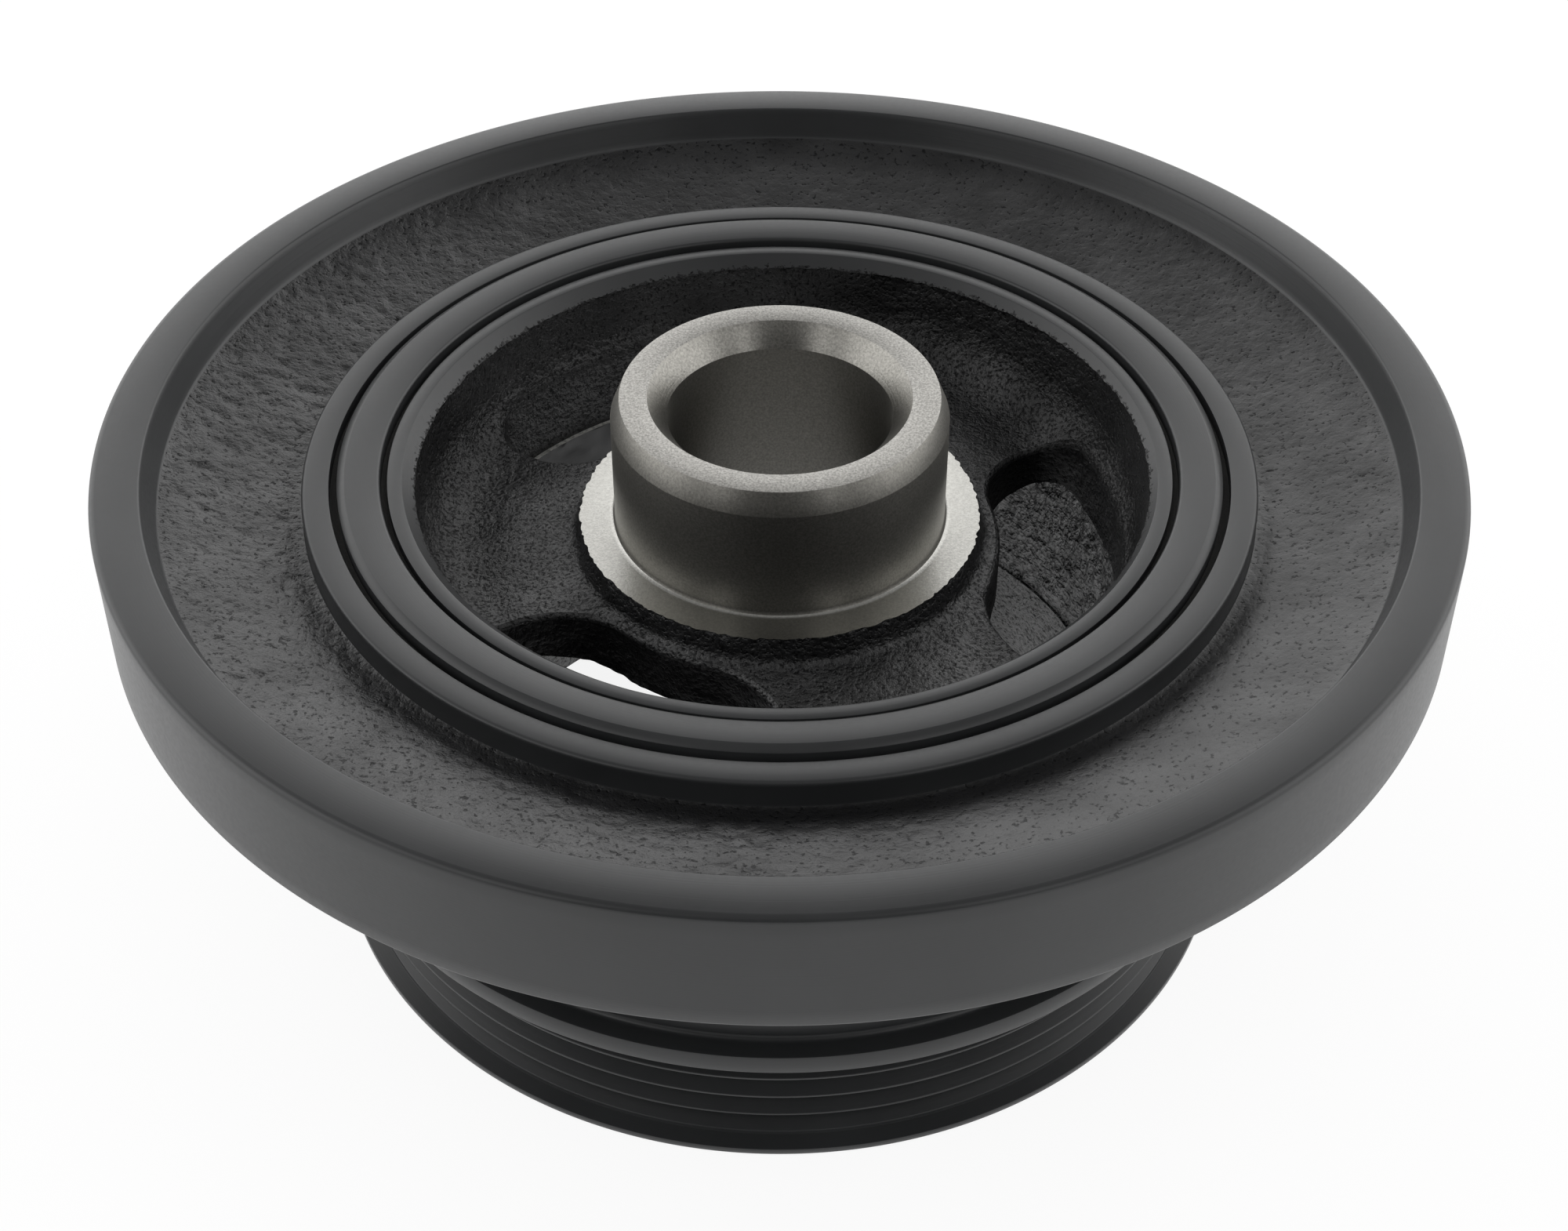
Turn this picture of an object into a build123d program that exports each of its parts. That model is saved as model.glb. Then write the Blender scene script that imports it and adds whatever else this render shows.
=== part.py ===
"""Harmonic balancer: a cast crank hub with its own belt pulley, and an inertia ring carried on rubber.

Radii are measured from the crank axis and heights from the pulley's front face, in millimetres.
The snout, which enters the engine, points up (+Z).
"""
import math
import os

from build123d import *

os.makedirs("parts", exist_ok=True)

# --- driving dimensions -------------------------------------------------------------------------

# snout and crank bore
SNOUT_D = 45.0                # seal journal
SNOUT_TOP = 76.2              # end face of the snout, the top of the whole part
LEAD_RUN, LEAD_DEPTH = 1.25, 3.1    # lead chamfer that spreads the seal lip
BORE_D = 30.0
SINK_RUN, SINK_DEPTH = 2.55, 3.0    # countersink at the bore's mouth
SHOULDER_D = 54.4             # turned face that the timing gear seats on
SHOULDER_H = 57.0
ROOT_FILLET = 0.8             # between the journal and its shoulder

# cast web, its three windows and the boss under it
WEB_TOP_IN, WEB_TOP_OUT = 53.3, 51.1    # web surface at the boss and at the rim
WEB_BOTTOM = 46.0
WINDOW_COUNT = 3
WINDOW_FIRST = -4.3           # azimuth of the first window's centre
WINDOW_SPAN = 65.0
WINDOW_R_IN, WINDOW_R_OUT = 30.4, 47.0
WINDOW_CORNER_IN, WINDOW_CORNER_OUT = 13.0, 5.0
WINDOW_EDGE = 1.0             # cast rounding of each window's upper edge
BOSS_R, BOSS_H = 23.5, 38.6   # front boss that the crank bolt's washer seats on

# hub rim
RIM_R = 52.45
RIM_TOP = 66.3
RIM_FACE_R = 50.5             # inner edge of the turned rim face
RIM_BEVEL_R, RIM_BEVEL_H = 49.3, 64.1   # where the turned bevel meets the cast wall
RIM_WALL_R = 48.3             # cast wall at the web
CAST_BORE_R = 47.3            # cast wall under the web
FRONT_BORE_R, FRONT_BORE_H = 46.4, 21.6
FRONT_EDGE = 0.4              # chamfer at the front bore's mouth

# belt pulley on the front of the hub: four grooves of the 3.56 mm multi-rib section
NECK_R, NECK_TOP = 63.4, 40.0
LIP_R, LIP_TOP, LIP_BOTTOM = 66.5, 21.4, 18.5
GROOVES = 4
PITCH = 3.56
GROOVE_ANGLE = 40.0
CREST_R, ROOT_R = 62.65, 59.75
CREST_FLAT = 0.35
FIRST_CREST = 1.85            # height of the crest beside the front flange
FLANGE_R, FLANGE_H = 65.0, 1.1

# sleeve ring between the two rubbers
SLEEVE_R_IN, SLEEVE_R_OUT = 53.3, 58.95
SLEEVE_TOP_IN, SLEEVE_TOP_OUT = 67.0, 67.55     # its face is turned slightly dished
SLEEVE_CHAMFER = 1.05

# inertia ring
INERTIA_R = 90.0
INERTIA_TOP, INERTIA_BOTTOM = 72.2, 54.9
INERTIA_BORE_R = 60.0
COLLAR_R = 63.65              # raised collar round the bore
COLLAR_TOP = 66.6
LAND_R = 83.6                 # inner edge of the rim's top land
DISH_R, DISH_TOP = 82.0, 67.9       # foot of the rim's inner wall
DISH_FOOT_R, DISH_FOOT_H = 65.2, 62.9
SKIRT_R = 66.0                # thick skirt that takes the rubber's length

# the rubbers, and the shallow waist that locks each one endways
STACK_BOTTOM = 43.0           # lower ends of the sleeve and the skirt
RUBBER_TOP, RUBBER_BOTTOM = 65.0, 43.8
WAIST_LENGTH, WAIST_DEPTH = 12.0, 0.45
WAIST_H = (RUBBER_TOP + RUBBER_BOTTOM) / 2


def waisted(start, end):
    """A cylinder's side from start to end, (radius, height) each, bowed outward at the waist."""
    radius = start[0]
    half = math.copysign(WAIST_LENGTH / 2, end[1] - start[1])
    entry = (radius, WAIST_H - half)
    leave = (radius, WAIST_H + half)
    Line(start, entry)
    ThreePointArc(entry, (radius + WAIST_DEPTH, WAIST_H), leave)
    Line(leave, end)


def rubber_ring(inner_radius, outer_radius):
    """One strip of rubber squeezed between two waisted metal faces."""
    with BuildPart() as ring:
        with BuildSketch(Plane.XZ):
            with BuildLine():
                waisted((inner_radius, RUBBER_TOP), (inner_radius, RUBBER_BOTTOM))
                Line((inner_radius, RUBBER_BOTTOM), (outer_radius, RUBBER_BOTTOM))
                waisted((outer_radius, RUBBER_BOTTOM), (outer_radius, RUBBER_TOP))
                Line((outer_radius, RUBBER_TOP), (inner_radius, RUBBER_TOP))
            make_face()
        revolve(axis=Axis.Z)
    return ring.part


def groove_points(height):
    """The four corners of one belt groove, from its lower crest to its upper one."""
    flank_run = (CREST_R - ROOT_R) * math.tan(math.radians(GROOVE_ANGLE / 2))
    mouth = (PITCH - CREST_FLAT) / 2
    floor = mouth - flank_run
    return [
        (CREST_R, height - mouth),
        (ROOT_R, height - floor),
        (ROOT_R, height + floor),
        (CREST_R, height + mouth),
    ]


def is_upright(face):
    """True for faces that stand along the crank axis."""
    return abs(face.normal_at().Z) < 0.01


def is_upper(edge):
    """True for edges on the web's upper side."""
    return edge.bounding_box().min.Z > (WEB_BOTTOM + WEB_TOP_OUT) / 2


# --- hub with its pulley ------------------------------------------------------------------------

snout_r = SNOUT_D / 2
bore_r = BORE_D / 2
last_crest = FIRST_CREST + GROOVES * PITCH

with BuildSketch() as window:
    Circle(WINDOW_R_OUT)
    Circle(WINDOW_R_IN, mode=Mode.SUBTRACT)
    reach = 2 * WINDOW_R_OUT
    half_width = reach * math.tan(math.radians(WINDOW_SPAN / 2))
    Polygon((0, 0), (reach, -half_width), (reach, half_width), align=None, mode=Mode.INTERSECT)
    inner_corners, outer_corners = window.vertices().group_by(SortBy.DISTANCE)
    fillet(inner_corners, WINDOW_CORNER_IN)
    fillet(outer_corners, WINDOW_CORNER_OUT)

# the section is drawn over the spoke between two windows, so that no window meets the seam
spoke_azimuth = WINDOW_FIRST + 180 / WINDOW_COUNT

with BuildPart() as hub:
    with BuildSketch(Plane.XZ.rotated((0, 0, spoke_azimuth))):
        with BuildLine():
            # snout, shoulder and the dished web
            shoulder_root = (snout_r + ROOT_FILLET, SHOULDER_H)
            journal_root = (snout_r, SHOULDER_H + ROOT_FILLET)
            Polyline(
                (bore_r, BOSS_H + 1.0),
                (bore_r, SNOUT_TOP - SINK_DEPTH),
                (bore_r + SINK_RUN, SNOUT_TOP),
                (snout_r - LEAD_RUN, SNOUT_TOP),
                (snout_r, SNOUT_TOP - LEAD_DEPTH),
                journal_root,
            )
            RadiusArc(journal_root, shoulder_root, ROOT_FILLET)
            Line(shoulder_root, (SHOULDER_D / 2, SHOULDER_H))
            bowl = FilletPolyline(
                (SHOULDER_D / 2, SHOULDER_H),
                (SHOULDER_D / 2 + 0.8, WEB_TOP_IN),
                (RIM_WALL_R, WEB_TOP_OUT),
                (RIM_BEVEL_R, RIM_BEVEL_H),
                radius=(1.6, 4.0),
            )
            # turned rim: bevel, face and the side that the inner rubber grips
            Polyline(
                (RIM_BEVEL_R, RIM_BEVEL_H),
                (RIM_FACE_R, RIM_TOP),
                (RIM_R - 0.25, RIM_TOP),
                (RIM_R, RIM_TOP - 0.25),
            )
            waisted((RIM_R, RIM_TOP - 0.25), (RIM_R, NECK_TOP))
            # neck and lip of the pulley
            FilletPolyline(
                (RIM_R, NECK_TOP),
                (NECK_R, NECK_TOP),
                (NECK_R, LIP_TOP),
                (LIP_R, LIP_TOP),
                (LIP_R, LIP_BOTTOM),
                radius=(1.0, 1.0, 0.4),
            )
            # belt grooves, from the lip down to the front flange
            Polyline(
                (LIP_R, LIP_BOTTOM),
                (CREST_R, last_crest + 1.2 * CREST_FLAT),
                (CREST_R, last_crest - CREST_FLAT / 2),
            )
            for number in reversed(range(GROOVES)):
                middle = FIRST_CREST + (number + 0.5) * PITCH
                below = (CREST_R, middle - PITCH / 2 - CREST_FLAT / 2)
                Polyline(*reversed(groove_points(middle)), below)
            # front flange, front face and the bore behind it
            Polyline(
                (CREST_R, FIRST_CREST - CREST_FLAT / 2),
                (CREST_R, FIRST_CREST - 1.2 * CREST_FLAT),
                (FLANGE_R, FLANGE_H),
                (FLANGE_R, 0.3),
                (FLANGE_R - 0.3, 0),
                (FRONT_BORE_R + FRONT_EDGE, 0),
                (FRONT_BORE_R, FRONT_EDGE),
                (FRONT_BORE_R, FRONT_BORE_H),
                (CAST_BORE_R, FRONT_BORE_H + 0.3),
            )
            # underside of the web, and the front boss
            FilletPolyline(
                (CAST_BORE_R, FRONT_BORE_H + 0.3),
                (CAST_BORE_R, WEB_BOTTOM),
                (BOSS_R + 1.6, WEB_BOTTOM),
                (BOSS_R, BOSS_H),
                (bore_r + 1.0, BOSS_H),
                radius=(2.5, 2.0, 0.8),
            )
            Line((bore_r + 1.0, BOSS_H), (bore_r, BOSS_H + 1.0))
        make_face()
    revolve(axis=Axis.Z)

    # kidney windows cast through the web, rounded at their upper edges
    with BuildSketch(Plane.XY.offset(WEB_BOTTOM - 4.0)):
        with PolarLocations(0, WINDOW_COUNT, start_angle=WINDOW_FIRST):
            add(window.sketch)
    extrude(amount=RIM_TOP - WEB_BOTTOM, mode=Mode.SUBTRACT)
    window_walls = hub.faces(Select.LAST).filter_by(is_upright)
    fillet(window_walls.edges().filter_by(is_upper), WINDOW_EDGE)

hub.part.label = "hub"
export_step(hub.part, "parts/hub.step")

# --- sleeve ring --------------------------------------------------------------------------------

with BuildPart() as sleeve_ring:
    with BuildSketch(Plane.XZ):
        with BuildLine():
            waisted((SLEEVE_R_IN, SLEEVE_TOP_IN), (SLEEVE_R_IN, STACK_BOTTOM))
            Line((SLEEVE_R_IN, STACK_BOTTOM), (SLEEVE_R_OUT, STACK_BOTTOM))
            waisted((SLEEVE_R_OUT, STACK_BOTTOM), (SLEEVE_R_OUT, SLEEVE_TOP_OUT - 0.65))
            Polyline(
                (SLEEVE_R_OUT, SLEEVE_TOP_OUT - 0.65),
                (SLEEVE_R_OUT - SLEEVE_CHAMFER, SLEEVE_TOP_OUT),
                (SLEEVE_R_IN, SLEEVE_TOP_IN),
            )
        make_face()
    revolve(axis=Axis.Z)

sleeve_ring.part.label = "sleeve_ring"
export_step(sleeve_ring.part, "parts/sleeve_ring.step")

# --- inertia ring -------------------------------------------------------------------------------

with BuildPart() as inertia_ring:
    with BuildSketch(Plane.XZ):
        with BuildLine():
            waisted((INERTIA_BORE_R, COLLAR_TOP), (INERTIA_BORE_R, STACK_BOTTOM))
            # skirt, underside, rim and top land
            FilletPolyline(
                (INERTIA_BORE_R, STACK_BOTTOM),
                (SKIRT_R, STACK_BOTTOM),
                (SKIRT_R + 0.8, INERTIA_BOTTOM),
                (INERTIA_R, INERTIA_BOTTOM),
                (INERTIA_R, INERTIA_TOP),
                (LAND_R, INERTIA_TOP),
                (DISH_R, DISH_TOP),
                radius=(1.0, 3.0, 0.5, 1.2, 0.6),
            )
            # dished face between the rim and the collar
            FilletPolyline(
                (DISH_R, DISH_TOP),
                (DISH_R - 2.6, DISH_TOP - 0.9),
                (DISH_FOOT_R, DISH_FOOT_H),
                (COLLAR_R, DISH_FOOT_H),
                (COLLAR_R, COLLAR_TOP),
                (INERTIA_BORE_R, COLLAR_TOP),
                radius=(2.0, 1.0, 0.7, 0.5),
            )
        make_face()
    revolve(axis=Axis.Z)

inertia_ring.part.label = "inertia_ring"
export_step(inertia_ring.part, "parts/inertia_ring.step")

# --- rubber rings -------------------------------------------------------------------------------

inner_rubber = rubber_ring(RIM_R, SLEEVE_R_IN)
inner_rubber.label = "inner_rubber"
export_step(inner_rubber, "parts/inner_rubber.step")

outer_rubber = rubber_ring(SLEEVE_R_OUT, INERTIA_BORE_R)
outer_rubber.label = "outer_rubber"
export_step(outer_rubber, "parts/outer_rubber.step")
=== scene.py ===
"""Looks for a harmonic balancer: a black-painted iron hub with a ground steel-bright snout,
and turned, dark-coated rings carried on two thin rings of rubber.

Each piece is an outline turned about the crank axis as one numpy grid. Radii and heights in the
tables are in millimetres from the crank axis and the pulley's front face.
"""
import math

import bpy
import numpy as np
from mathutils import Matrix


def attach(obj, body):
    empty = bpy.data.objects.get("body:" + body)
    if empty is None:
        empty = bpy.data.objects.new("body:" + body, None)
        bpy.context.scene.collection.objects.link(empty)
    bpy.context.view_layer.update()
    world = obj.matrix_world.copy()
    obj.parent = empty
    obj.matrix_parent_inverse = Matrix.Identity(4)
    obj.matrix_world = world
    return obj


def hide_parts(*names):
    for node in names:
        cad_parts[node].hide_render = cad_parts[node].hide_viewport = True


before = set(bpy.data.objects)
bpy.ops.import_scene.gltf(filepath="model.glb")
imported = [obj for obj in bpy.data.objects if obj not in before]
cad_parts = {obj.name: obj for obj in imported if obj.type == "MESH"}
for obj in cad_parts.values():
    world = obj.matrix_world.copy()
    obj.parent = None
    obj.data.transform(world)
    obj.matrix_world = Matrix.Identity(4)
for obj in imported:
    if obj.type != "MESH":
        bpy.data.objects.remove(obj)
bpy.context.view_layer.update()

MM = 0.001
TURN = 2 * math.pi

# --- sizes, in millimetres ----------------------------------------------------------------------

BORE_R, SNOUT_R, SHOULDER_R = 15.0, 22.5, 27.2
SNOUT_TOP, SHOULDER_H = 76.2, 57.0
WEB_R, WEB_TOP_IN, WEB_TOP_OUT, WEB_BOTTOM = 28.0, 53.3, 51.1, 46.0
WALL_R, WALL_FOOT, BEVEL_R, BEVEL_H = 48.5, 8.0, 49.4, 65.2
RIM_R, RIM_FACE_R, RIM_TOP = 52.45, 50.5, 66.3
NECK_R, NECK_TOP = 63.4, 40.0
LIP_R, LIP_TOP, LIP_BOTTOM = 66.5, 21.4, 18.5
CREST_R, ROOT_R, PITCH, FIRST_CREST, CREST_FLAT = 62.65, 59.75, 3.56, 1.85, 0.35
GROOVES = 4
FLANGE_R, FLANGE_H = 65.0, 1.1
FRONT_BORE_R, FRONT_BORE_H, CAST_BORE_R = 46.4, 21.3, 46.65
BOSS_R, BOSS_H = 23.5, 38.6
SLEEVE_R_IN, SLEEVE_R_OUT = 53.3, 58.95
SLEEVE_TOP_IN, SLEEVE_TOP_OUT, SLEEVE_CHAMFER = 67.0, 67.55, 1.05
INERTIA_R, INERTIA_TOP, INERTIA_BOTTOM, INERTIA_BORE_R = 90.0, 72.2, 54.9, 60.0
COLLAR_R, COLLAR_TOP, LAND_R = 63.65, 66.6, 83.6
DISH_R, DISH_TOP, DISH_FOOT_R, DISH_FOOT_H = 82.0, 67.9, 65.2, 62.9
SKIRT_R, STACK_BOTTOM = 66.0, 43.0
RUBBER_TOP, RUBBER_BOTTOM = 65.0, 43.8

# finishes, in the order of each piece's material slots
PAINTED, COARSE, SHADED_WALL, LIGHTER_SHADED_WALL, PLAIN, BARE_STEP_HIGHLIGHT, TURNED, TORN, GROUND, SUNK, FACED, LAPPED = range(12)

# each window's first and last azimuth, inner and outer radius, inner corners, lower end and wall's
# finish, which is painted shade that dulls the wall, less in the second window: the cores sat a little out
# of true, and the second one left a narrow step in the wall below
WINDOWS = (
    (-37.2, 29.2, 30.2, 46.6, 13.0, 44.2, SHADED_WALL),
    (84.0, 152.2, 29.8, 47.3, 10.0, 43.4, LIGHTER_SHADED_WALL),
    (207.2, 271.0, 29.4, 46.6, 14.0, 44.2, SHADED_WALL),
)
WINDOW_CORNER = 5.0
WINDOW_EDGE = 0.8

# the turned bevel reaches 0.4 mm lower than its middle height towards this azimuth and 0.4 mm less
# low on the other side, as the casting sat a little out of true; the slope is per millimetre
SKEW_AZIMUTH, SKEW = 140, 0.4 / 49.4

# steps around the axis, few enough to keep each piece under 200,000 triangles
HUB_SEGMENTS = 400
RING_SEGMENTS = 720

# the floor lies this far under the pulley's face, in metres, so that the two never coincide
FLOOR_GAP = 0.00002
FLOOR_REACH = 4

# the lamps' distance from the axis and the height they face, in metres
LAMP_DISTANCE = 1.2
LAMP_AIM = 0.05

CEILING_LIGHT = 0.34


# --- shapes -------------------------------------------------------------------------------------

def trace(corners):
    """A closed outline through corners of (radius, height, rounding, step, finish).

    Each corner is cut back along both runs by rounding * tan(turn / 2) and joined by an arc.
    The runs between arcs are divided evenly, no longer than the step of the corner they leave.
    An arc has at least 8 steps to the half turn, or 3 where its rounding is under 0.5 mm. A
    finish covers the run that leaves its corner, and the halves of the arcs at both ends.
    """
    spots = np.array([corner[:2] for corner in corners], float)
    ahead = np.roll(spots, -1, axis=0) - spots
    length = np.linalg.norm(ahead, axis=1)
    heading = np.arctan2(ahead[:, 1], ahead[:, 0])
    turn = (heading - np.roll(heading, 1) + math.pi) % TURN - math.pi
    rounding = np.array([corner[2] for corner in corners], float)
    cut = rounding * np.tan(np.abs(turn) / 2)
    points = []
    finishes = []
    for index, corner in enumerate(corners):
        before = heading[index - 1]
        start = spots[index] - cut[index] * np.array((math.cos(before), math.sin(before)))
        if cut[index] > 0:
            side = math.copysign(math.pi / 2, turn[index])
            middle = start + corner[2] * np.array((math.cos(before + side), math.sin(before + side)))
            fineness = max(8 if corner[2] >= 0.5 else 3, math.pi * corner[2] / corner[3])
            count = max(2, int(np.ceil(abs(turn[index]) * fineness / math.pi)) + 1)
            sweep = before - side + np.linspace(0, turn[index], count)
            arc = middle + corner[2] * np.stack((np.cos(sweep), np.sin(sweep)), axis=1)
        else:
            arc = spots[index][None, :]
        following = (index + 1) % len(corners)
        run = length[index] - cut[index] - cut[following]
        pieces = max(1, int(np.ceil(run / corner[3])))
        share = np.arange(1, pieces)[:, None] / pieces
        direction = np.array((math.cos(heading[index]), math.sin(heading[index])))
        line = arc[-1] + share * run * direction
        stretch = np.concatenate((arc, line))
        points.append(stretch)
        half = len(arc) // 2
        finishes += [corners[index - 1][4]] * half + [corner[4]] * (len(stretch) - half)
    return np.concatenate(points), np.array(finishes)


def lathe(corners, segments):
    """Vertex (i, j) is outline point i turned to azimuth 2 pi j / segments, joined in quads."""
    outline, finish = trace(corners)
    azimuth = TURN * np.arange(segments) / segments
    radius = outline[:, 0, None]
    height = np.broadcast_to(outline[:, 1, None], (len(outline), segments))
    grid = np.stack((radius * np.cos(azimuth), radius * np.sin(azimuth), height), axis=2)
    i, j = np.meshgrid(np.arange(len(outline)), np.arange(segments), indexing="ij")
    below = i * segments
    above = (i + 1) % len(outline) * segments
    beside = (j + 1) % segments
    quads = np.stack((below + j, below + beside, above + beside, above + j), axis=2)
    return grid.reshape(-1, 3), quads.reshape(-1, 4), np.repeat(finish, segments)


def blank(name, points, faces, finish=None):
    """A mesh object from points in millimetres and faces of point numbers."""
    mesh = bpy.data.meshes.new(name)
    mesh.from_pydata((points * MM).tolist(), [], faces if isinstance(faces, list) else faces.tolist())
    if finish is not None:
        mesh.polygons.foreach_set("material_index", finish.astype(np.int32))
    mesh.update()
    piece = bpy.data.objects.new(name, mesh)
    bpy.context.scene.collection.objects.link(piece)
    return piece


def smooth(piece, degrees=38):
    """Smooth shading, broken where faces turn by more than the angle and where two finishes meet."""
    mesh = piece.data
    mesh.shade_smooth()
    mesh.set_sharp_from_angle(angle=math.radians(degrees))
    finish = corner_finish(mesh)
    edges = np.empty(len(mesh.loops), np.int32)
    mesh.loops.foreach_get("edge_index", edges)
    total = np.bincount(edges, finish, len(mesh.edges))
    square = np.bincount(edges, finish ** 2, len(mesh.edges))
    sharp = np.empty(len(mesh.edges), bool)
    mesh.edges.foreach_get("use_edge_sharp", sharp)
    mesh.edges.foreach_set("use_edge_sharp", sharp | (2 * square - total ** 2 > 0.5))


def corner_finish(mesh):
    """The finish of the face that each face corner belongs to."""
    sides = np.empty(len(mesh.polygons), np.int32)
    mesh.polygons.foreach_get("loop_total", sides)
    finish = np.empty(len(mesh.polygons), np.int32)
    mesh.polygons.foreach_get("material_index", finish)
    return np.repeat(finish, sides).astype(float)


def grain(points, size, seed):
    """Value noise from -1 to 1: random numbers on a lattice of that size, eased between its nodes."""
    lattice = np.random.default_rng(seed).uniform(-1, 1, (64, 64, 64))
    cell = np.floor(points / size).astype(int)
    part = points / size - cell
    ease = part * part * (3 - 2 * part)
    total = np.zeros(len(points))
    for corner in np.ndindex(2, 2, 2):
        weight = np.prod(np.where(corner, ease, 1 - ease), axis=1)
        at = (cell + corner) % 64
        total += weight * lattice[at[:, 0], at[:, 1], at[:, 2]]
    return total


def ramp(value, low, high):
    """0 below low, 1 above high, and an eased slope between."""
    share = np.clip((value - low) / (high - low), 0, 1)
    return share * share * (3 - 2 * share)


def read_points(piece):
    """The piece's points in millimetres, and their unit normals."""
    count = len(piece.data.vertices)
    points = np.empty(count * 3, np.float32)
    normals = np.empty(count * 3, np.float32)
    piece.data.vertices.foreach_get("co", points)
    piece.data.vertices.foreach_get("normal", normals)
    return points.reshape(-1, 3).astype(float) / MM, normals.reshape(-1, 3).astype(float)


def write_points(piece, points):
    """Puts points in millimetres back into the piece."""
    piece.data.vertices.foreach_set("co", (points * MM).astype(np.float32).ravel())
    piece.data.update()


# --- hub ----------------------------------------------------------------------------------------

def hub_corners():
    """The hub's outline, anticlockwise from its front face: pulley, rim, bowl, snout, bore, underside."""
    grooves = []
    flank = (CREST_R - ROOT_R) * math.tan(math.radians(20))
    mouth = (PITCH - CREST_FLAT) / 2
    for number in range(GROOVES):
        middle = FIRST_CREST + (number + 0.5) * PITCH
        grooves += [
            (CREST_R, middle - mouth, 0.12, 9, TURNED),
            (ROOT_R, middle - mouth + flank, 0.15, 9, TURNED),
            (ROOT_R, middle + mouth - flank, 0.15, 9, TURNED),
            (CREST_R, middle + mouth, 0.12, 9, TURNED),
        ]
    last = FIRST_CREST + GROOVES * PITCH
    return [
        (FRONT_BORE_R + 0.4, 0, 0, 9, TURNED),
        (FLANGE_R, 0, 0.3, 9, TURNED),
        (FLANGE_R, FLANGE_H, 0.15, 9, TURNED),
        (CREST_R, FIRST_CREST - 1.2 * CREST_FLAT, 0.1, 9, TURNED),
        *grooves,
        (CREST_R, last + 1.2 * CREST_FLAT, 0.2, 9, TURNED),
        (LIP_R, LIP_BOTTOM, 0.25, 9, TURNED),
        (LIP_R, LIP_TOP, 0.4, 9, TURNED),
        (NECK_R, LIP_TOP, 0.8, 9, TURNED),
        (NECK_R, NECK_TOP, 1.0, 9, TURNED),
        (RIM_R, NECK_TOP, 0, 9, TURNED),
        (RIM_R, RIM_TOP, 0.25, 9, TURNED),
        (RIM_FACE_R, RIM_TOP, 0.12, 9, TORN),
        (BEVEL_R, BEVEL_H, 0, 0.75, PAINTED),
        (WALL_R, WEB_TOP_OUT, WALL_FOOT, 0.75, PAINTED),
        (WEB_R, WEB_TOP_IN, 1.6, 0.75, PAINTED),
        (SHOULDER_R, SHOULDER_H, 0, 9, LAPPED),
        (SNOUT_R, SHOULDER_H, 0.8, 9, GROUND),
        (SNOUT_R, SNOUT_TOP - 3.1, 0.08, 9, GROUND),
        (SNOUT_R - 1.25, SNOUT_TOP, 0.12, 9, FACED),
        (BORE_R + 2.55, SNOUT_TOP, 0.08, 9, SUNK),
        (BORE_R, SNOUT_TOP - 3, 0.12, 9, GROUND),
        (BORE_R, BOSS_H + 1, 0, 9, TURNED),
        (BORE_R + 1, BOSS_H, 0, 9, TURNED),
        (BOSS_R, BOSS_H, 0.8, 2, PAINTED),
        (BOSS_R + 1.6, WEB_BOTTOM - 1.2, 2, 2, PAINTED),
        (CAST_BORE_R, WEB_BOTTOM, 1, 0.8, COARSE),
        (CAST_BORE_R, FRONT_BORE_H + 0.25, 0, 1, COARSE),
        (FRONT_BORE_R, FRONT_BORE_H, 0, 1.2, PLAIN),
        (FRONT_BORE_R, 0.4, 0, 9, TURNED),
    ]


def bowl_height(radius):
    """Height of the bowl's floor at a radius, read off the turned outline."""
    outline, _ = trace(hub_corners())
    inside = (outline[:, 0] > WEB_R + 0.5) & (outline[:, 0] < WALL_R) & (outline[:, 1] > WEB_BOTTOM + 3)
    floor = outline[inside & (outline[:, 1] < BEVEL_H)]
    order = np.argsort(floor[:, 0])
    return np.interp(radius, floor[order, 0], floor[order, 1])


def kidney(half, near, reach, corner):
    """A window's outline, half of its span each side of azimuth 0, and its outward normals.

    Both are complex numbers, x + iy. The window lies between the radii near and reach, its inner
    corners have the radius corner and its outer ones WINDOW_CORNER. Its ends run along radii. Each
    corner's arc touches one radius and one circle, so its centre stands off the radius by the
    angle asin(corner / distance from the axis).
    """
    outer = half - math.asin(WINDOW_CORNER / (reach - WINDOW_CORNER))
    inner = half - math.asin(corner / (near + corner))
    side = half + math.pi / 2
    outer_middle = (reach - WINDOW_CORNER) * np.exp(1j * outer)
    inner_middle = (near + corner) * np.exp(1j * inner)
    back = np.linspace(0, outer, 34, endpoint=False)
    turn_out = np.linspace(outer, side, 14, endpoint=False)
    turn_in = np.linspace(side, inner + math.pi, 20, endpoint=False)
    front = np.linspace(inner, 0, 14)
    points = np.concatenate((
        reach * np.exp(1j * back),
        outer_middle + WINDOW_CORNER * np.exp(1j * turn_out),
        inner_middle + corner * np.exp(1j * turn_in),
        near * np.exp(1j * front),
    ))
    normals = np.concatenate((
        np.exp(1j * back),
        np.exp(1j * turn_out),
        np.exp(1j * turn_in),
        -np.exp(1j * front),
    ))
    mirror = slice(-2, 0, -1)
    return (
        np.concatenate((points, points[mirror].conj())),
        np.concatenate((normals, normals[mirror].conj())),
    )


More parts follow.
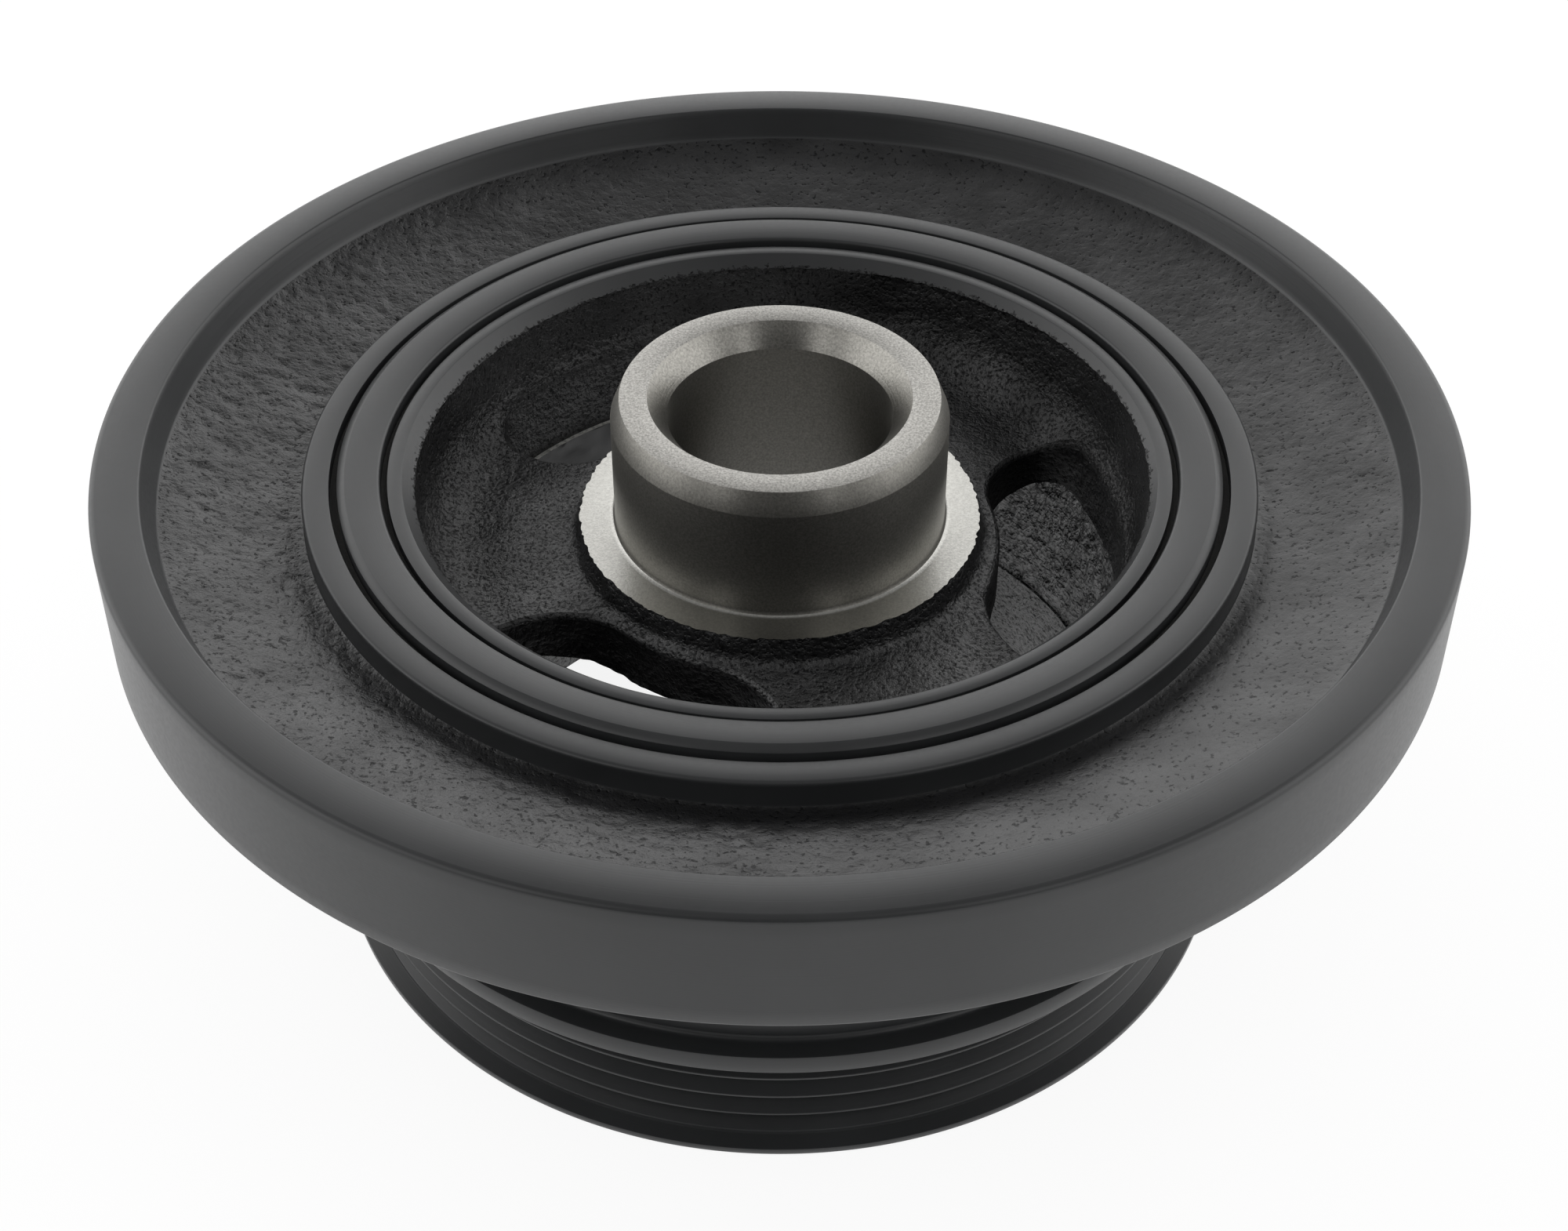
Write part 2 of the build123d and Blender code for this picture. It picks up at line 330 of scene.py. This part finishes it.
def window_cutter(name, first, last, near, reach, corner, base, wall_finish):
    """The solid that a window takes away: the kidney carried up, flaring out over the bowl's floor.

    The wall stands straight from the height base. At angle t of the flare the outline is offset
    by e (1 - cos t) and stands e (1 - sin t) below the floor, which leaves the window's upper edge
    rounded to the radius e, WINDOW_EDGE. The last two rows stand clear above the floor.
    """
    points, normals = kidney(math.radians(last - first) / 2, near, reach, corner)
    around = np.exp(1j * math.radians(first + last) / 2)
    points, normals = points * around, normals * around
    wall = np.linspace(0, 1, 9)[:-1]
    flare = np.radians((0, 20, 40, 58, 72))
    spread = WINDOW_EDGE * (1 - np.cos(flare))
    offset = np.concatenate((np.zeros(len(wall)), spread, [0.95 * WINDOW_EDGE]))
    rows = points + offset[:, None] * normals
    floor = bowl_height(np.abs(rows))
    drop = WINDOW_EDGE * (1 - np.sin(flare))[:, None]
    straight = base + wall[:, None] * (floor[: len(wall)] - WINDOW_EDGE - base)
    curved = floor[len(wall):-1] - drop
    height = np.concatenate((straight, curved, floor[-1:] + 0.5))
    rows = np.concatenate((rows, rows[-1:]))
    height = np.concatenate((height, np.full((1, len(points)), BEVEL_H - 3)))
    grid = np.stack((rows.real, rows.imag, height), axis=2)
    count = len(points)
    i, j = np.meshgrid(np.arange(len(grid) - 1), np.arange(count), indexing="ij")
    beside = (j + 1) % count
    below = i * count
    above = below + count
    quads = np.stack((below + j, below + beside, above + beside, above + j), axis=2)
    bottom = list(range(count))[::-1]
    top = list(range((len(grid) - 1) * count, len(grid) * count))
    faces = quads.reshape(-1, 4).tolist() + [bottom, top]
    finish = np.full(len(faces), PAINTED)
    finish[: len(wall) * count] = wall_finish
    # the bottom shows only where a window is wider than the hollow below and leaves a step, which is given
    # pale iron as a painted highlight
    finish[-2] = BARE_STEP_HIGHLIGHT
    return blank(name, grid.reshape(-1, 3), faces, finish)


def cut(piece, cutters):
    """Takes the cutters out of the piece and leaves it a plain mesh."""
    for cutter in cutters:
        opening = piece.modifiers.new(cutter.name, "BOOLEAN")
        opening.operation = "DIFFERENCE"
        opening.solver = "EXACT"
        opening.object = cutter
    solid = bpy.data.meshes.new_from_object(piece.evaluated_get(bpy.context.evaluated_depsgraph_get()))
    piece.modifiers.clear()
    piece.data = solid
    for cutter in cutters:
        bpy.data.objects.remove(cutter)


def rough_cast(piece):
    """Moves the hub's cast skin along its normals by sand-cast unevenness, and frays its turned edges.

    Only points whose faces are all cast skin move so, by three sizes of noise. The wall inside the
    pulley is rougher towards +X: its coarse grains stand out up to 0.5 mm. The shoulder's edge is
    frayed by up to 0.3 mm. The bevel's lower edge slides down along the bevel's 45 degrees by
    0.25 mm, by teeth of 0.12 mm either way, and by the skew's slope times the distance towards
    the skew's azimuth.
    """
    points, normals = read_points(piece)
    mesh = piece.data
    corners = np.empty(len(mesh.loops), np.int32)
    mesh.loops.foreach_get("vertex_index", corners)
    machined = corner_finish(mesh) > PLAIN
    cast = np.bincount(corners, machined, len(points)) == 0
    radius = np.hypot(points[:, 0], points[:, 1])
    height = points[:, 2]
    uneven = 0.16 * grain(points, 5.3, 1) + 0.11 * grain(points, 2.3, 2) + 0.08 * grain(points, 1.1, 3)
    hollow = ramp(radius, CAST_BORE_R - 1, CAST_BORE_R - 0.5) * ramp(WEB_BOTTOM - height, 0.2, 1.5)
    hollow *= ramp(height, FRONT_BORE_H, FRONT_BORE_H + 1) * ramp(points[:, 0], -5, 20)
    coarse = 0.3 * grain(points, 2.4, 9) + 0.22 * grain(points, 1.5, 10)
    points += normals * (cast * (uneven * (1 - 0.5 * hollow) + hollow * coarse))[:, None]
    shoulder = (np.abs(radius - SHOULDER_R) < 0.05) & (np.abs(height - SHOULDER_H) < 0.05)
    fray = 1 + shoulder * (0.22 * grain(points, 0.5, 4) + 0.1 * grain(points, 2.0, 11)) / SHOULDER_R
    bevel = (np.abs(radius - BEVEL_R) < 0.05) & (np.abs(height - BEVEL_H) < 0.05)
    skew = math.radians(SKEW_AZIMUTH)
    teeth = 0.12 * grain(points, 0.7, 12)
    down = bevel * (0.25 + teeth + SKEW * (points[:, 0] * math.cos(skew) + points[:, 1] * math.sin(skew)))
    points[:, :2] *= (fray - down / BEVEL_R)[:, None]
    points[:, 2] -= down
    write_points(piece, points)


# --- rings --------------------------------------------------------------------------------------

def sleeve_corners():
    """The sleeve ring's outline: outer side, chamfer, slightly dished face, bore."""
    return [
        (SLEEVE_R_IN, STACK_BOTTOM, 0.3, 9, 0),
        (SLEEVE_R_OUT, STACK_BOTTOM, 0.3, 9, 0),
        (SLEEVE_R_OUT, SLEEVE_TOP_OUT - 0.65, 0.12, 9, 0),
        (SLEEVE_R_OUT - SLEEVE_CHAMFER, SLEEVE_TOP_OUT, 0.15, 9, 0),
        (SLEEVE_R_IN, SLEEVE_TOP_IN, 0.5, 9, 0),
    ]


def inertia_corners():
    """The inertia ring's outline: skirt, underside, rim, cast dish and turned collar."""
    return [
        (INERTIA_BORE_R, STACK_BOTTOM, 0.5, 9, 1),
        (SKIRT_R, STACK_BOTTOM, 1.0, 9, 1),
        (SKIRT_R + 0.8, INERTIA_BOTTOM, 3.0, 9, 1),
        (INERTIA_R, INERTIA_BOTTOM, 0.45, 2, 1),
        (INERTIA_R, INERTIA_TOP, 0.9, 9, 1),
        (LAND_R, INERTIA_TOP, 0.35, 0.6, 1),
        (DISH_R, DISH_TOP, 0.8, 0.6, 0),
        (DISH_R - 2.6, DISH_TOP - 0.9, 2.0, 0.6, 0),
        (DISH_FOOT_R, DISH_FOOT_H, 1.0, 0.6, 0),
        (COLLAR_R, DISH_FOOT_H, 0.4, 9, 1),
        (COLLAR_R, COLLAR_TOP, 0.6, 9, 1),
        (INERTIA_BORE_R, COLLAR_TOP, 0.15, 9, 1),
    ]


def rough_dish(piece):
    """Sinks sand-cast pits into the dish between rim and collar, deeper on the side towards -X.

    Two sizes of noise, cut off below a level, sink up to 0.22 and 0.12 mm, over an unevenness of
    0.08 mm. The underside has the same radii and is left out by its height.
    """
    points, normals = read_points(piece)
    radius = np.hypot(points[:, 0], points[:, 1])
    azimuth = np.arctan2(points[:, 1], points[:, 0])
    dish = ramp(radius, DISH_FOOT_R, DISH_FOOT_R + 1) * ramp(DISH_R - radius, 0.2, 2.0)
    dish *= points[:, 2] > (INERTIA_BOTTOM + INERTIA_TOP) / 2 - 2
    worse = 0.25 + 0.75 * ramp(-np.cos(azimuth - math.radians(20)), -0.1, 0.6)
    pits = -0.22 * ramp(grain(points, 1.5, 6), 0.1, 0.75) - 0.12 * ramp(grain(points, 0.9, 7), 0.2, 0.8)
    uneven = 0.08 * grain(points, 6.0, 8)
    points += normals * (dish * (uneven + worse * pits))[:, None]
    write_points(piece, points)


def rubber_corners(inner, outer):
    """A rubber strip's outline, its top drawn down a little in the middle."""
    middle = (inner + outer) / 2
    return [
        (inner, RUBBER_BOTTOM, 0, 9, 0),
        (outer, RUBBER_BOTTOM, 0, 9, 0),
        (outer, RUBBER_TOP, 0, 9, 0),
        (middle, RUBBER_TOP - 0.2, 0.3, 9, 0),
        (inner, RUBBER_TOP, 0, 9, 0),
    ]


# --- materials ----------------------------------------------------------------------------------

def linear(code):
    """An sRGB hex colour as linear red, green, blue and full alpha."""
    parts = [int(code[at:at + 2], 16) / 255 for at in (1, 3, 5)]
    return [part / 12.92 if part <= 0.04045 else ((part + 0.055) / 1.055) ** 2.4 for part in parts] + [1.0]


def add(tree, kind, settings, inputs):
    """Adds a shader node, with its settings and its inputs, each a value or another node's output."""
    node = tree.nodes.new(kind)
    for name, value in settings.items():
        setattr(node, name, value)
    for name, value in inputs.items():
        if isinstance(value, bpy.types.NodeSocket):
            tree.links.new(value, node.inputs[name])
        else:
            node.inputs[name].default_value = value
    return node


def start(name):
    """A new material's tree, its shader and its Object coordinates."""
    material = bpy.data.materials.new(name)
    material.use_nodes = True
    tree = material.node_tree
    shader = tree.nodes["Principled BSDF"]
    place = tree.nodes.new("ShaderNodeTexCoord").outputs["Object"]
    return material, tree, shader, place


def rings_of(tree, place):
    """Distance from the crank axis and height, in metres, for marks left by a lathe."""
    parts = add(tree, "ShaderNodeSeparateXYZ", {}, {"Vector": place})
    flat = add(tree, "ShaderNodeCombineXYZ", {}, {"X": parts.outputs["X"], "Y": parts.outputs["Y"]})
    radius = add(tree, "ShaderNodeVectorMath", {"operation": "LENGTH"}, {0: flat.outputs[0]})
    return radius.outputs["Value"], parts.outputs["Z"]


def paint(tree, shader, place, grains, depth, gloss, pitted, rim=1.0, calm=1.0):
    """Sets a shader to black paint on sand-cast iron: satin, uneven, with small pits painted darker as
    shade.

    There are so many grains to the metre, of that depth in metres, and the pits are half their
    size. The gloss is the specular level of the paint between the pits. The more pitted, from 0.3
    to 0.7, the more pits there are, and the darker and duller they are painted as shade. The gloss
    changes to rim times itself between 40 and 47 mm from the crank axis, and the relief to calm
    times itself from X -60 to X 30 mm.
    """
    radius, _ = rings_of(tree, place)
    parts = add(tree, "ShaderNodeSeparateXYZ", {}, {"Vector": place})
    relief = add(tree, "ShaderNodeMapRange", {"interpolation_type": "SMOOTHSTEP"}, {
        "Value": parts.outputs["X"], "From Min": -0.06, "From Max": 0.03, "To Min": 1.0, "To Max": calm,
    })
    sand = add(tree, "ShaderNodeTexNoise", {}, {
        "Vector": place, "Scale": grains, "Detail": 4, "Roughness": 0.6,
    })
    holes = add(tree, "ShaderNodeTexNoise", {}, {"Vector": place, "Scale": 2 * grains, "Detail": 2})
    cloud = add(tree, "ShaderNodeTexNoise", {}, {"Vector": place, "Scale": 90, "Detail": 3})
    pits = add(tree, "ShaderNodeMapRange", {"interpolation_type": "SMOOTHSTEP"}, {
        "Value": holes.outputs["Fac"], "From Min": 0.3, "From Max": pitted,
    })
    pit_shade_and_tone = add(tree, "ShaderNodeMath", {"operation": "MULTIPLY"}, {
        0: pits.outputs[0], 1: cloud.outputs["Fac"],
    })
    # painted shade: the paint's gloss is lowered in the pits
    shine = add(tree, "ShaderNodeMapRange", {}, {
        "Value": pit_shade_and_tone.outputs[0], "To Min": (0.9 - pitted) * gloss, "To Max": 2 * gloss,
    })
    outward = add(tree, "ShaderNodeMapRange", {"interpolation_type": "SMOOTHSTEP"}, {
        "Value": radius, "From Min": 0.04, "From Max": 0.047, "To Min": 1.0, "To Max": rim,
    })
    level = add(tree, "ShaderNodeMath", {"operation": "MULTIPLY"}, {
        0: shine.outputs[0], 1: outward.outputs[0],
    })
    # painted shade: the colour is darker in the pits, over a cloud of random tone
    tint = add(tree, "ShaderNodeValToRGB", {}, {"Fac": pit_shade_and_tone.outputs[0]})
    tint.color_ramp.elements[0].position = 0.1
    tint.color_ramp.elements[0].color = linear("#09090a")
    tint.color_ramp.elements[1].position = 0.6
    tint.color_ramp.elements[1].color = linear("#171718")
    low = add(tree, "ShaderNodeBump", {}, {
        "Height": sand.outputs["Fac"], "Strength": relief.outputs[0], "Distance": depth,
    })
    high = add(tree, "ShaderNodeBump", {}, {
        "Height": pits.outputs[0], "Strength": relief.outputs[0], "Distance": 0.00004,
        "Normal": low.outputs["Normal"],
    })
    tree.links.new(tint.outputs["Color"], shader.inputs["Base Color"])
    tree.links.new(level.outputs[0], shader.inputs["Specular IOR Level"])
    tree.links.new(high.outputs["Normal"], shader.inputs["Normal"])
    shader.inputs["Roughness"].default_value = 0.4


def coat(tree, shader, place):
    """Sets a shader to a thin dark coating on turned iron: faint rings of 0.2 mm feed, satin."""
    radius, height = rings_of(tree, place)
    feed = add(tree, "ShaderNodeCombineXYZ", {}, {"X": radius, "Y": height})
    marks = add(tree, "ShaderNodeTexNoise", {}, {"Vector": feed.outputs[0], "Scale": 5000, "Detail": 1})
    cloud = add(tree, "ShaderNodeTexNoise", {}, {"Vector": place, "Scale": 60, "Detail": 4})
    mottle = add(tree, "ShaderNodeTexNoise", {}, {"Vector": place, "Scale": 1500, "Detail": 2})
    tint = add(tree, "ShaderNodeValToRGB", {}, {"Fac": cloud.outputs["Fac"]})
    tint.color_ramp.elements[0].position = 0.3
    tint.color_ramp.elements[0].color = linear("#252627")
    tint.color_ramp.elements[1].position = 0.7
    tint.color_ramp.elements[1].color = linear("#2c2d2e")
    rough = add(tree, "ShaderNodeMapRange", {}, {
        "Value": mottle.outputs["Fac"], "To Min": 0.3, "To Max": 0.42,
    })
    bump = add(tree, "ShaderNodeBump", {}, {
        "Height": marks.outputs["Fac"], "Strength": 0.25, "Distance": 0.00003,
    })
    tree.links.new(tint.outputs["Color"], shader.inputs["Base Color"])
    tree.links.new(rough.outputs["Result"], shader.inputs["Roughness"])
    tree.links.new(bump.outputs["Normal"], shader.inputs["Normal"])


def painted_iron(name, *look):
    """Sand-cast iron under black paint."""
    material, tree, shader, place = start(name)
    paint(tree, shader, place, *look)
    return material


def turned_dark_iron():
    """Turned iron under a thin dark coating."""
    material, tree, shader, place = start("dark_coating_on_turned_iron")
    coat(tree, shader, place)
    return material


def torn_skin():
    """The turned bevel, and the cast skin whose torn edge stands ragged along its foot, its paint dulled
    as painted shade where the edge turns down.

    Bare iron shows where noise times its range, plus the height, plus the skew's slope along X
    and Y, is more than the edge's height plus half of that range.
    """
    ragged_range = 2.2
    edge = BEVEL_H - 0.1
    material, tree, shader, place = start("torn_cast_skin_on_turned_iron")
    coat(tree, shader, place)
    skin = add(tree, "ShaderNodeBsdfPrincipled", {}, {})
    # painted shade: the skin's paint has far less gloss than elsewhere, so it darkens as its downturned
    # edge would
    paint(tree, skin, place, 1300, 0.0002, 0.25, 0.5)
    skew = math.radians(SKEW_AZIMUTH)
    slope = add(tree, "ShaderNodeVectorMath", {"operation": "DOT_PRODUCT"}, {
        0: place, 1: (SKEW * math.cos(skew), SKEW * math.sin(skew), 1.0),
    })
    ragged = add(tree, "ShaderNodeTexNoise", {}, {
        "Vector": place, "Scale": 1400, "Detail": 2, "Roughness": 0.7,
    })
    level = add(tree, "ShaderNodeMath", {"operation": "MULTIPLY_ADD"}, {
        0: ragged.outputs["Fac"], 1: ragged_range * MM, 2: slope.outputs["Value"],
    })
    bare = add(tree, "ShaderNodeMath", {"operation": "GREATER_THAN"}, {
        0: level.outputs[0], 1: (edge + ragged_range / 2) * MM,
    })
    both = add(tree, "ShaderNodeMixShader", {}, {
        0: bare.outputs[0], 1: skin.outputs[0], 2: shader.outputs[0],
    })
    tree.links.new(both.outputs[0], tree.nodes["Material Output"].inputs["Surface"])
    return material


def half_cleaned_skin():
    """The hollow inside the pulley: coarse painted skin towards +X, cleaned smooth and dark towards -X."""
    material, tree, shader, place = start("coarse_cast_skin_cleaned_on_one_side")
    coat(tree, shader, place)
    skin = add(tree, "ShaderNodeBsdfPrincipled", {}, {})
    paint(tree, skin, place, 600, 0.0012, 1.15, 0.62)
    parts = add(tree, "ShaderNodeSeparateXYZ", {}, {"Vector": place})
    share = add(tree, "ShaderNodeMapRange", {"interpolation_type": "SMOOTHSTEP"}, {
        "Value": parts.outputs["X"], "From Min": -0.012, "From Max": 0.015,
    })
    both = add(tree, "ShaderNodeMixShader", {}, {
        0: share.outputs[0], 1: shader.outputs[0], 2: skin.outputs[0],
    })
    tree.links.new(both.outputs[0], tree.nodes["Material Output"].inputs["Surface"])
    return material


def bright_iron(name, colour, roughness, scale, depth, speckle, stretch):
    """Bare machined iron: a metal with fine marks along its turning, which spread its light across them.

    The scale is marks per metre, the depth theirs in metres, and the speckle is the share by which
    grains of 0.3 mm darken it. The stretch is how far light spreads across the marks. Real marks
    are too fine to show, so they are drawn coarser, 0.1 to 0.2 mm apart.
    """
    material, tree, shader, place = start(name)
    radius, height = rings_of(tree, place)
    feed = add(tree, "ShaderNodeCombineXYZ", {}, {"X": radius, "Y": height})
    marks = add(tree, "ShaderNodeTexNoise", {}, {"Vector": feed.outputs[0], "Scale": scale, "Detail": 2})
    speck = add(tree, "ShaderNodeTexNoise", {}, {
        "Vector": place, "Scale": 3200, "Detail": 3, "Roughness": 0.7,
    })
    bump = add(tree, "ShaderNodeBump", {}, {
        "Height": marks.outputs["Fac"], "Strength": 0.4, "Distance": depth,
    })
    pitted = add(tree, "ShaderNodeBump", {}, {
        "Height": speck.outputs["Fac"], "Strength": 0.5, "Distance": 0.00003,
        "Normal": bump.outputs["Normal"],
    })
    tint = add(tree, "ShaderNodeValToRGB", {}, {"Fac": speck.outputs["Fac"]})
    tint.color_ramp.elements[0].position = 0.3
    tint.color_ramp.elements[0].color = [part * (1 - speckle) for part in linear(colour)[:3]] + [1.0]
    tint.color_ramp.elements[1].position = 0.7
    tint.color_ramp.elements[1].color = linear(colour)
    around = add(tree, "ShaderNodeTangent", {"direction_type": "RADIAL", "axis": "Z"}, {})
    tree.links.new(tint.outputs["Color"], shader.inputs["Base Color"])
    tree.links.new(pitted.outputs["Normal"], shader.inputs["Normal"])
    tree.links.new(around.outputs["Tangent"], shader.inputs["Tangent"])
    shader.inputs["Metallic"].default_value = 1.0
    shader.inputs["Roughness"].default_value = roughness
    shader.inputs["Anisotropic"].default_value = stretch
    shader.inputs["Anisotropic Rotation"].default_value = 0.25
    return material


def bare_step_highlight_iron():
    """The thin step left in a window: pale bare iron, made bright enough to stand as a painted highlight
    along the step.
    """
    material, tree, shader, place = start("pale_bare_iron_step_highlight")
    speck = add(tree, "ShaderNodeTexNoise", {}, {"Vector": place, "Scale": 1500, "Detail": 3})
    # painted highlight: the step's iron is made pale so that it shows as a bright line
    tint = add(tree, "ShaderNodeValToRGB", {}, {"Fac": speck.outputs["Fac"]})
    tint.color_ramp.elements[0].position = 0.3
    tint.color_ramp.elements[0].color = linear("#a9a8a4")
    tint.color_ramp.elements[1].position = 0.6
    tint.color_ramp.elements[1].color = linear("#e4e3df")
    tree.links.new(tint.outputs["Color"], shader.inputs["Base Color"])
    shader.inputs["Metallic"].default_value = 1.0
    shader.inputs["Roughness"].default_value = 0.7
    return material


def moulded_rubber():
    """Black moulded rubber, matt."""
    material, tree, shader, place = start("matt_moulded_rubber")
    speck = add(tree, "ShaderNodeTexNoise", {}, {"Vector": place, "Scale": 1800, "Detail": 3})
    bump = add(tree, "ShaderNodeBump", {}, {
        "Height": speck.outputs["Fac"], "Strength": 0.5, "Distance": 0.0001,
    })
    tree.links.new(bump.outputs["Normal"], shader.inputs["Normal"])
    shader.inputs["Base Color"].default_value = linear("#13120f")
    shader.inputs["Roughness"].default_value = 0.75
    return material


# --- pieces -------------------------------------------------------------------------------------

# the bowl, web and boss: satin black, broken into small glints by the sand's grain
painted = painted_iron("black_paint_on_sand_cast_iron", 1000, 0.0004, 0.68, 0.5, 0.6)
# the dish: the same paint on larger grains that lie calmer towards +X, so it reads as dark satin
dished = painted_iron("black_paint_on_sand_cast_dish", 700, 0.00032, 0.49, 0.41, 1.0, 0.4)
coarse = half_cleaned_skin()
# the windows' walls: painted shade, the paint's shine nearly taken away so that they read as flat
# near-black
matt = painted_iron("paint_dulled_as_shade_in_windows", 900, 0.0004, 0.08, 0.46)
# the second window's wall: painted shade too, but lighter, with a little shine left, so the wall shows
# against its opening
thin = painted_iron("paint_dulled_as_lighter_shade_in_second_window", 900, 0.0004, 0.4, 0.5)
# the smooth wall of the hollow's front: a fuller coat on larger relief, with broader glints
plain = painted_iron("black_paint_on_smooth_cast_iron", 900, 0.0006, 0.78, 0.48)
# the window step: pale iron as a painted highlight
bare = bare_step_highlight_iron()
turned = turned_dark_iron()
torn = torn_skin()
# the journal and bore: ground, so light draws out into long upright streaks
ground = bright_iron("ground_bare_iron", "#94928c", 0.38, 9000, 0.00001, 0.42, 0.6)
# the countersink: the deepest marks of the four, which break the light into patches
sunk = bright_iron("countersunk_bare_iron", "#9b9993", 0.31, 5000, 0.00003, 0.5, 0.3)
# the snout's end: faced, the palest and roughest of the four, so it looks evenly bright
faced = bright_iron("faced_bare_iron", "#bcbab5", 0.5, 6000, 0.00002, 0.6, 0.3)
# the shoulder: lapped, the smoothest of the four, so it mirrors its surroundings most clearly
lapped = bright_iron("lapped_bare_iron", "#b4b3ae", 0.25, 6000, 0.00001, 0.3, 0.2)
rubber = moulded_rubber()

hub = blank("hub_casting", *lathe(hub_corners(), HUB_SEGMENTS))
for material in (painted, coarse, matt, thin, plain, bare, turned, torn, ground, sunk, faced, lapped):
    hub.data.materials.append(material)
cut(hub, [window_cutter(f"window_{row[0]:.0f}", *row) for row in WINDOWS])
rough_cast(hub)
smooth(hub)

sleeve = blank("sleeve", *lathe(sleeve_corners(), RING_SEGMENTS))
sleeve.data.materials.append(turned)
smooth(sleeve)

inertia = blank("inertia_rim", *lathe(inertia_corners(), RING_SEGMENTS))
for material in (dished, turned):
    inertia.data.materials.append(material)
rough_dish(inertia)
smooth(inertia)

rubber_in = blank("rubber_in", *lathe(rubber_corners(RIM_R, SLEEVE_R_IN), RING_SEGMENTS))
rubber_out = blank("rubber_out", *lathe(rubber_corners(SLEEVE_R_OUT, INERTIA_BORE_R), RING_SEGMENTS))
for strip in (rubber_in, rubber_out):
    strip.data.materials.append(rubber)
    smooth(strip)

for piece, node, slot in (
    (hub, "hub", "hub_casting"),
    (sleeve, "sleeve_ring", "damper_rings"),
    (inertia, "inertia_ring", "damper_rings"),
    (rubber_in, "inner_rubber", "rubber"),
    (rubber_out, "outer_rubber", "rubber"),
):
    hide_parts(node)
    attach(piece, "root")

# --- floor, light and camera --------------------------------------------------------------------

def white_floor():
    """White paper: white to the camera but for the object's soft shadow."""
    material, tree, shader, _ = start("white_paper_floor")
    tree.nodes.remove(shader)
    path = tree.nodes.new("ShaderNodeLightPath")
    paper = add(tree, "ShaderNodeBsdfDiffuse", {}, {"Color": linear("#f2f2f2")})
    glow = add(tree, "ShaderNodeEmission", {}, {"Color": linear("#ffffff"), "Strength": 1.08})
    lit = add(tree, "ShaderNodeMixShader", {}, {0: 0.82, 1: paper.outputs[0], 2: glow.outputs[0]})
    gloss = add(tree, "ShaderNodeMath", {"operation": "MAXIMUM"}, {
        0: path.outputs["Is Glossy Ray"], 1: path.outputs["Is Transmission Ray"],
    })
    seeing = add(tree, "ShaderNodeMath", {"operation": "MAXIMUM"}, {
        0: path.outputs["Is Camera Ray"], 1: gloss.outputs[0],
    })
    seen = add(tree, "ShaderNodeMixShader", {}, {
        0: seeing.outputs[0], 1: paper.outputs[0], 2: lit.outputs[0],
    })
    tree.links.new(seen.outputs[0], tree.nodes["Material Output"].inputs["Surface"])
    return material


floor_mesh = bpy.data.meshes.new("floor")
floor_corners = [
    (x * FLOOR_REACH, y * FLOOR_REACH, -FLOOR_GAP)
    for x, y in ((-1, -1), (1, -1), (1, 1), (-1, 1))
]
floor_mesh.from_pydata(floor_corners, [], [(0, 1, 2, 3)])
floor = bpy.data.objects.new("floor", floor_mesh)
bpy.context.scene.collection.objects.link(floor)
floor.data.materials.append(white_floor())

world = bpy.data.worlds.new("studio")
bpy.context.scene.world = world
world.use_nodes = True
tent = world.node_tree
tent.nodes.clear()
# a white sweep behind and beside the object, a dimmer ceiling, and the dark room on the near side
direction = tent.nodes.new("ShaderNodeTexCoord").outputs["Generated"]
toward = add(tent, "ShaderNodeSeparateXYZ", {}, {"Vector": direction})
sweep = add(tent, "ShaderNodeMapRange", {"interpolation_type": "SMOOTHSTEP"}, {
    "Value": toward.outputs["Z"], "From Min": 0.58, "From Max": 0.78, "To Min": 1.0, "To Max": 0.0,
})
behind = add(tent, "ShaderNodeMapRange", {"interpolation_type": "SMOOTHSTEP"}, {
    "Value": toward.outputs["Y"], "From Min": -0.8, "From Max": -0.1, "To Min": 0.12, "To Max": 1.95,
})
surplus = add(tent, "ShaderNodeMath", {"operation": "SUBTRACT"}, {
    0: behind.outputs[0], 1: CEILING_LIGHT,
})
strength = add(tent, "ShaderNodeMath", {"operation": "MULTIPLY_ADD"}, {
    0: sweep.outputs[0], 1: surplus.outputs[0], 2: CEILING_LIGHT,
})
path = tent.nodes.new("ShaderNodeLightPath")
white = add(tent, "ShaderNodeBackground", {}, {"Color": linear("#ffffff"), "Strength": 1.0})
fill = add(tent, "ShaderNodeBackground", {}, {"Color": linear("#ffffff"), "Strength": strength.outputs[0]})
sky = add(tent, "ShaderNodeMixShader", {}, {
    0: path.outputs["Is Camera Ray"], 1: fill.outputs[0], 2: white.outputs[0],
})
add(tent, "ShaderNodeOutputWorld", {}, {"Surface": sky.outputs[0]})


def softbox(name, azimuth, height, watts):
    """A tall area lamp at that azimuth in degrees and height in metres, facing the object."""
    lamp = bpy.data.lights.new(name, "AREA")
    lamp.shape = "RECTANGLE"
    lamp.size = 0.3
    lamp.size_y = 0.9
    lamp.energy = watts
    holder = bpy.data.objects.new(name, lamp)
    across = math.radians(azimuth)
    holder.location = (LAMP_DISTANCE * math.cos(across), LAMP_DISTANCE * math.sin(across), height)
    holder.rotation_euler = (math.atan2(LAMP_DISTANCE, height - LAMP_AIM), 0, across + math.pi / 2)
    bpy.context.scene.collection.objects.link(holder)


softbox("softbox_left", -129, 0.75, 1.1)
softbox("softbox_right", -56, 0.75, 1.1)

# close in front of the object, looking down on it at 40 degrees
lens = bpy.data.cameras.new("camera")
lens.sensor_width = 36.0
lens.lens = 57.67
lens.shift_x = 0.0008
lens.clip_start = 0.01
camera = bpy.data.objects.new("camera", lens)
camera.location = (0.0, -0.2713, 0.2679)
camera.rotation_euler = (math.radians(49.72), math.radians(-0.11), 0)
bpy.context.scene.collection.objects.link(camera)
bpy.context.scene.camera = camera
bpy.context.scene.view_settings.view_transform = "Standard"
